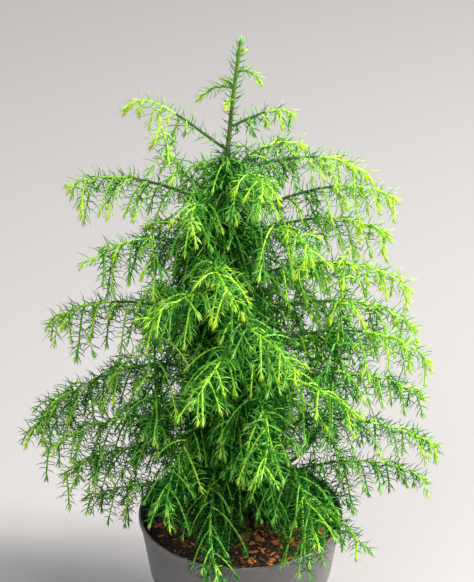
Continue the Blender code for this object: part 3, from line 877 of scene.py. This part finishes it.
needle_rng = np.random.default_rng(SEED)
roots, aims, ups, lengths, widths, shades = [], [], [], [], [], []

# The places of the needles back from a shoot's tip, close at first and then more open.
needle_places = [0.0004]
while needle_places[-1] < LONGEST_SHOOT:
    opened = min(1.0, needle_places[-1] / LOW_BRUSH)
    needle_places.append(needle_places[-1] + BRUSH_SPACING + (OPEN_SPACING - BRUSH_SPACING) * opened)
needle_places = np.array(needle_places)


def set_needles(shoot, every=1.0, longest=NEEDLE_LENGTH, open_angle=OPEN_ANGLE, brush=None):
    """Sets needles in a spiral round a shoot: spread at its foot, and drawn together at its tip."""
    length = path_length(shoot.path)
    if brush is None:
        high = (shoot.path[-1][2] - SOIL_LEVEL) / (PLANT_TOP - SOIL_LEVEL)
        brush = LOW_BRUSH + (HIGH_BRUSH - LOW_BRUSH) * min(1.0, max(0.0, high)) ** 0.7
    from_tip = needle_places * every
    from_tip = from_tip[from_tip < length - shoot.start]
    count = len(from_tip)
    if count < 2:
        return
    steps = np.linalg.norm(np.diff(shoot.path, axis=0), axis=1)
    reached = np.concatenate([[0.0], np.cumsum(steps)])
    at = length - from_tip
    points = np.stack([np.interp(at, reached, shoot.path[:, axis]) for axis in range(3)], axis=1)
    along, side, over = carried_frames(points[::-1])
    along, side, over = along[::-1], side[::-1], over[::-1]
    turns = GOLDEN_ANGLE * np.arange(count) + needle_rng.uniform(0, 6.28)
    turns += needle_rng.normal(0, 0.15, count)
    out = side * np.cos(turns)[:, None] + over * np.sin(turns)[:, None]
    open_share = np.clip(from_tip / brush, 0, 1)
    lean = BRUSH_ANGLE + (open_angle - BRUSH_ANGLE) * open_share**BRUSH_OPENING
    lean = np.radians(lean + needle_rng.normal(0, 1, count) * (3 + 8 * open_share))
    aim = along * np.cos(lean)[:, None] + out * np.sin(lean)[:, None]
    size = longest * (0.45 + 0.55 * np.clip(from_tip / 0.010, 0, 1))
    size = size * needle_rng.uniform(0.75, 1.15, count)
    # Needles darken towards the crown's inside, partly as painted shade, and grow fresher towards the
    # shoot's tip.
    fresh_and_shade = shoot.freshness + needle_rng.normal(0, 0.07, count)
    fresh_and_shade = fresh_and_shade - 0.03 + 0.46 * (1 - open_share) ** 0.7
    roots.append(points)
    aims.append(aim)
    ups.append(along)
    lengths.append(size)
    widths.append(1.0 + BRUSH_STOUTNESS * (1 - open_share))
    shades.append(np.clip((fresh_and_shade * len(GREENS)).astype(int), 0, len(GREENS) - 1))


for shoot in shoots:
    set_needles(shoot)
for sprig in sprigs:
    set_needles(sprig, 0.62, 0.0105, 60, 0.014)
NEEDLED_TRUNK = 0.430
trunk_top = Shoot(trunk_axis(NEEDLED_TRUNK, PLANT_TOP - 0.002, 60), 0, 0, 0, 0.0, 0.36)
set_needles(trunk_top, 0.75, 0.0115, 62, 0.008)
roots = np.concatenate(roots)
aims = np.concatenate(aims)
ups = np.concatenate(ups)
lengths = np.concatenate(lengths)
widths = np.concatenate(widths)
shades = np.concatenate(shades)


def needle_arrays(root, aim, forward, length, width):
    """Slender three-sided needles that bend forward, as corners and faces."""
    cross = unit(np.cross(aim, forward))
    up = np.cross(cross, aim)
    middle = root + aim * (length * NEEDLE_BEND)[:, None]
    bent = unit(aim * math.cos(NEEDLE_TURN) + forward * math.sin(NEEDLE_TURN))
    tip = middle + bent * (length * (1 - NEEDLE_BEND))[:, None]
    ring = [cross * 0.5, cross * -0.5, up * 0.7]
    corners = [root + corner * (NEEDLE_FOOT * width)[:, None] for corner in ring]
    corners += [middle + corner * (NEEDLE_WIDTH * width)[:, None] for corner in ring]
    corners = np.stack([*corners, tip], axis=1)
    first = 7 * np.arange(len(root))[:, None]
    pattern = [[2, 1, 0]]
    for k in range(3):
        after = (k + 1) % 3
        pattern += [[k, after, 3 + k], [after, 3 + after, 3 + k], [3 + k, 3 + after, 6]]
    faces = (first[:, :, None] + np.array(pattern)[None]).reshape(-1, 3)
    return corners.reshape(-1, 3), faces


tips = roots + aims * lengths[:, None]
spread = np.hypot(tips[:, 0], tips[:, 1])
trunk_x = -TRUNK_BOW * np.sin(
    np.pi * np.clip((tips[:, 2] - SOIL_LEVEL) / (PLANT_TOP - SOIL_LEVEL), 0, 1) ** 1.3
)
in_pot = (spread < RIM_RADIUS + 0.002) & (tips[:, 2] < POT_HEIGHT + 0.0015)
in_pot &= (spread > RIM_RADIUS - 0.006) | (tips[:, 2] < SOIL_LEVEL + 0.003)
low_corner = np.array(cad_low) - 0.002
high_corner = np.array(cad_high) + 0.002
outside_box = np.any((tips < low_corner) | (tips > high_corner), axis=1)
in_trunk = (np.hypot(tips[:, 0] - trunk_x, tips[:, 1]) < 0.003) & (tips[:, 2] < TRUNK_TOP)
kept = ~(in_pot | outside_box | in_trunk)
print("shoots", len(shoots), "needles", int(kept.sum()), "dropped", int((~kept).sum()))
for shade, (name, colour) in enumerate(GREENS):
    chosen = np.flatnonzero(kept & (shades == shade))
    needle_green = Finish(name, colour, 0.5)
    needle_green.set("Specular IOR Level", 0.10)
    print(name, len(chosen))
    for part, start in enumerate(range(0, len(chosen), MOST_NEEDLES)):
        some = chosen[start : start + MOST_NEEDLES]
        chosen_arrays = [array[some] for array in (roots, aims, ups, lengths, widths)]
        corners, faces = needle_arrays(*chosen_arrays)
        piece = mesh_piece(f"{name}_{part + 1}", corners, [faces])
        dress(piece, needle_green, MASSES)


# The setting: a plain pale floor, a broad soft light from the right and slightly behind, a
# weak fill from the left, and the camera that looks down on the plant from its front.
CAMERA_PLACE = (-0.003, -1.475, 1.089)
CAMERA_PITCH = 27.06
FOCAL_PIXELS = 2100.0
PICTURE_HEIGHT = 582.0
SENSOR = 36.0

floor_mesh = bmesh.new()
bmesh.ops.create_grid(floor_mesh, x_segments=1, y_segments=1, size=12.0)
floor_data = bpy.data.meshes.new("floor")
floor_mesh.to_mesh(floor_data)
floor_mesh.free()
floor = bpy.data.objects.new("floor", floor_data)
bpy.context.scene.collection.objects.link(floor)
floor_data.materials.append(Finish("pale_floor", (0.44, 0.427, 0.427), 0.9).material)


def soft_light(name, place, size, power, colour):
    """A square softbox aimed at the middle of the plant."""
    data = bpy.data.lights.new(name, "AREA")
    data.shape = "SQUARE"
    data.size = size
    data.energy = power
    data.color = colour
    lamp = bpy.data.objects.new(name, data)
    lamp.location = place
    aim = Vector((0.0, 0.0, 0.28)) - Vector(place)
    lamp.rotation_euler = aim.to_track_quat("-Z", "Y").to_euler()
    bpy.context.scene.collection.objects.link(lamp)


soft_light("key_light", (2.2, -0.35, 3.2), 1.1, 228.0, (1.0, 0.97, 0.92))
soft_light("rim_light", (2.0, -0.25, 0.75), 0.8, 34.0, (1.0, 0.98, 0.95))
soft_light("front_fill", (-1.0, -1.6, 1.6), 1.6, 26.0, (0.93, 0.96, 1.0))

world = bpy.data.worlds.new("studio")
bpy.context.scene.world = world
world.use_nodes = True
backdrop = world.node_tree.nodes["Background"]
backdrop.inputs["Color"].default_value = (0.94, 0.95, 1.0, 1.0)
backdrop.inputs["Strength"].default_value = 0.36
bpy.context.scene.view_settings.view_transform = "Standard"

camera_data = bpy.data.cameras.new("camera")
camera_data.lens = FOCAL_PIXELS / PICTURE_HEIGHT * SENSOR
camera_data.sensor_width = SENSOR
camera = bpy.data.objects.new("camera", camera_data)
camera.location = CAMERA_PLACE
camera.rotation_euler = (math.radians(90 - CAMERA_PITCH), 0.0, 0.0)
bpy.context.scene.collection.objects.link(camera)
bpy.context.scene.camera = camera
